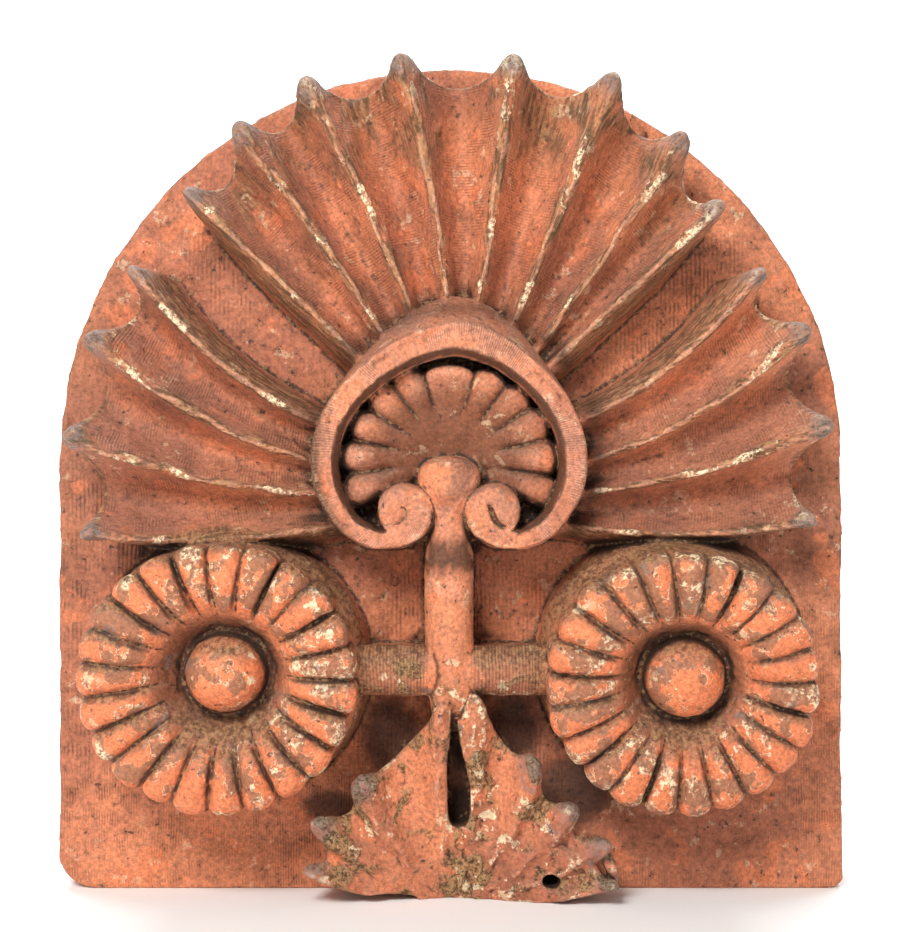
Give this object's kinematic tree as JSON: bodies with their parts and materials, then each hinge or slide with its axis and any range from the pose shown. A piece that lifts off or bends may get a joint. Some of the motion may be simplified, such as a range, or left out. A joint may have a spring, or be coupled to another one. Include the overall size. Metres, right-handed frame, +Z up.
{
  "type": "terracotta lunette",
  "caption": "Arched terracotta wall block with carved leaf fans, a horseshoe band round a palmette, a stem with two arms, two petalled rosettes and a scalloped leaf.",
  "frame": {"origin": "middle of the slab's flat underside, halfway between its front and back faces", "axes": "+Z up, +Y towards the flat back, the carved front faces -Y, +X to the right when facing the front"},
  "size_m": [0.56, 0.172, 0.585],
  "materials": {
    "terracotta": "matt unglazed fired clay, weathered"
  },
  "bodies": {
    "root": {"terracotta_lunette": "terracotta"}
  },
  "joints": []
}
